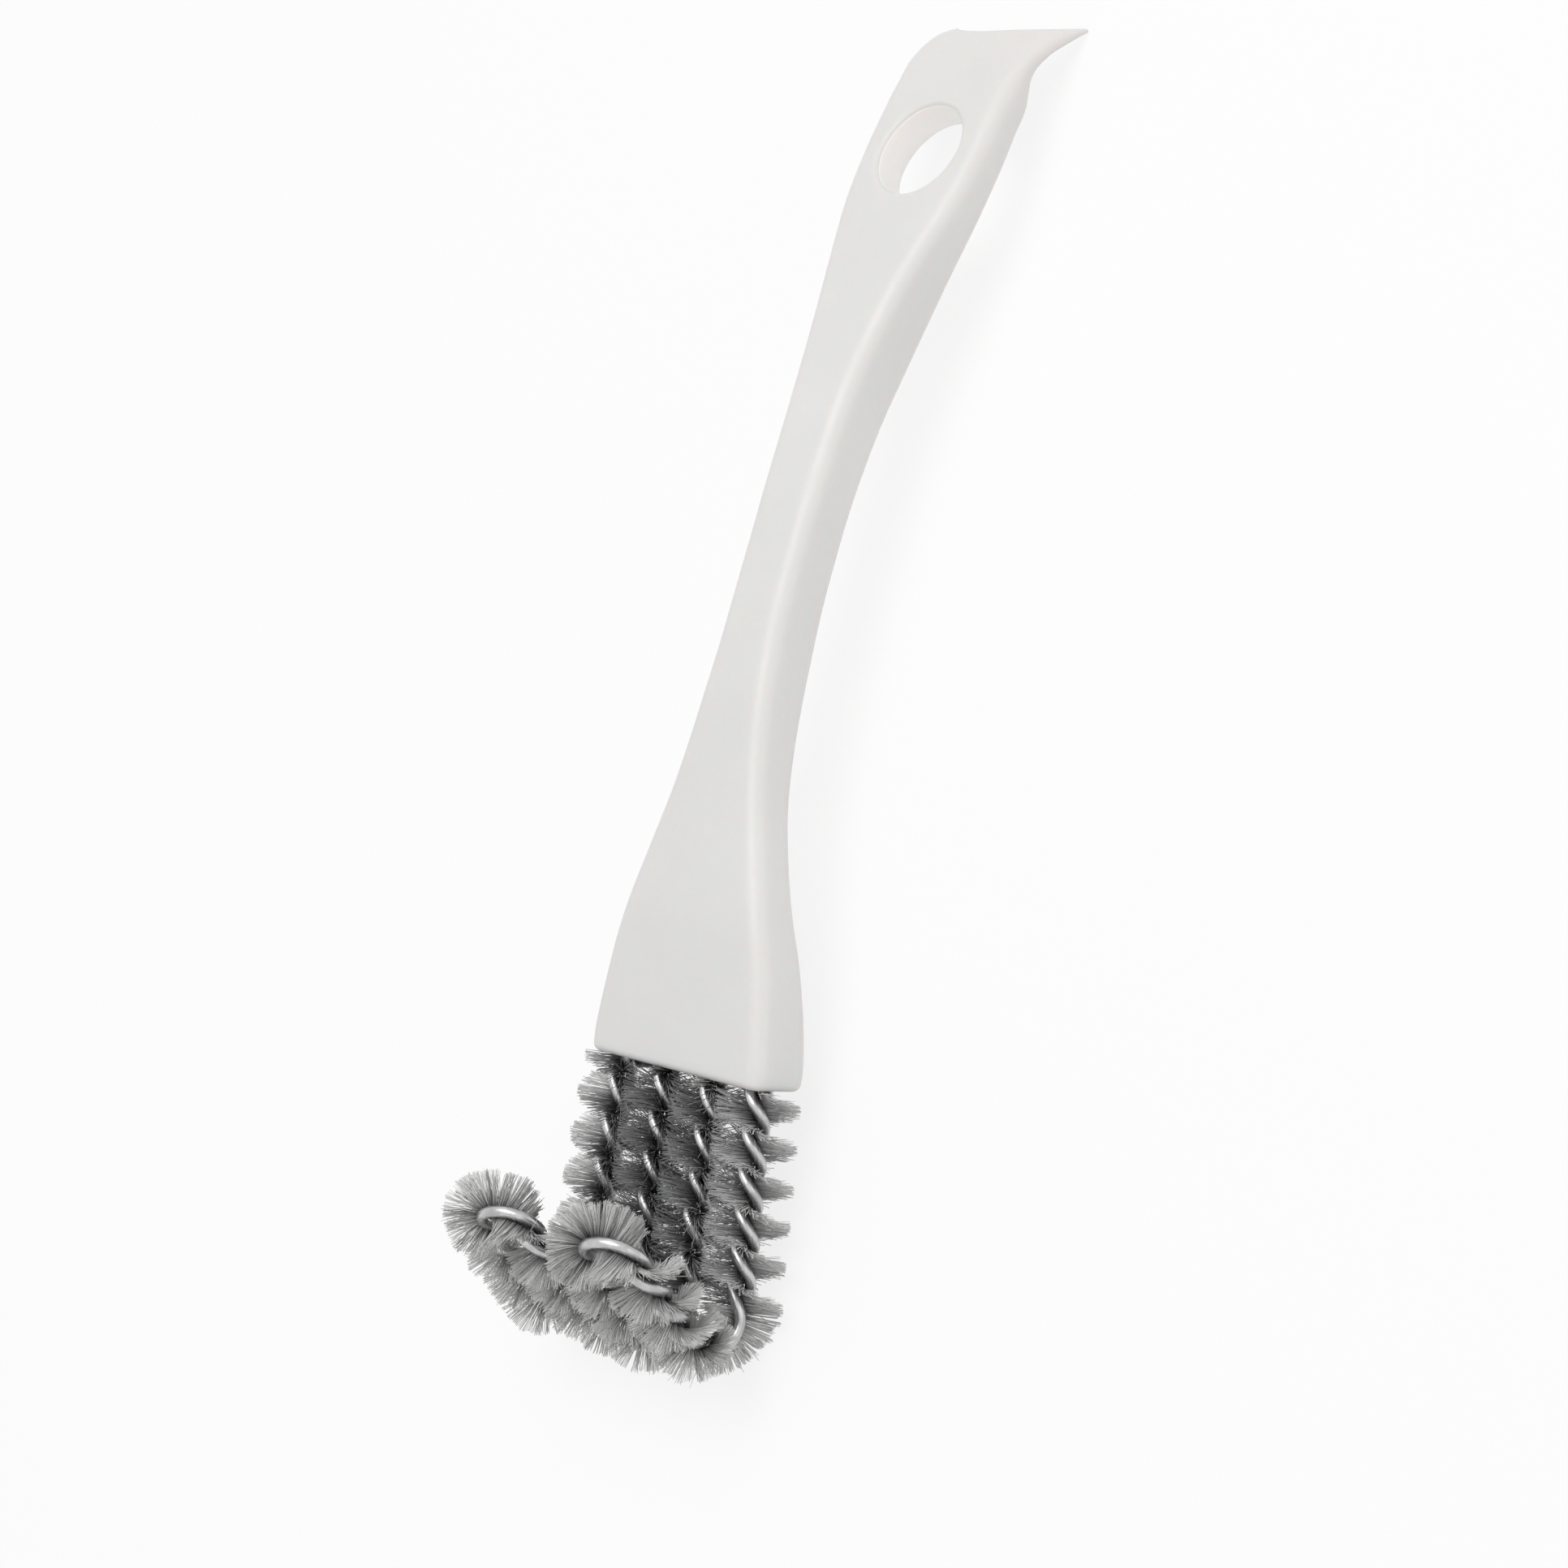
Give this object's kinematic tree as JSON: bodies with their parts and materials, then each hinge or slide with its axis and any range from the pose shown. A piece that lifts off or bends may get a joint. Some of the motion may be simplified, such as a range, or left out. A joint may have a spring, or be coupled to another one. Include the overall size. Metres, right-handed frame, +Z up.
{
  "type": "cage cleaning brush",
  "caption": "Hand-held cage cleaning brush: bowed plastic handle with hanging hole and scraper edge, and twisted-wire bristle loops bent into a hooked head.",
  "frame": {"origin": "centre of the footprint, on the surface that the brush lies on", "axes": "+Y along the length from the brush head to the scraper edge, +Z up, where the hooked toes point, +X across the row of legs"},
  "size_m": [0.0352, 0.1602, 0.0275],
  "materials": {
    "handle_plastic": "satin moulded",
    "wire": "bright drawn",
    "bristle": "dull filament"
  },
  "bodies": {
    "root": {"handle": "handle_plastic", "left_loop_first_wire": "wire", "left_loop_second_wire": "wire", "right_loop_first_wire": "wire", "right_loop_second_wire": "wire", "left_outer_shank_bristles": "bristle", "left_inner_shank_bristles": "bristle", "left_outer_heel_bristles": "bristle", "left_inner_heel_bristles": "bristle", "left_outer_toe_bristles": "bristle", "left_inner_toe_bristles": "bristle", "left_tip_bristles": "bristle", "right_outer_shank_bristles": "bristle", "right_inner_shank_bristles": "bristle", "right_outer_heel_bristles": "bristle", "right_inner_heel_bristles": "bristle", "right_outer_toe_bristles": "bristle", "right_inner_toe_bristles": "bristle", "right_tip_bristles": "bristle"}
  },
  "joints": []
}
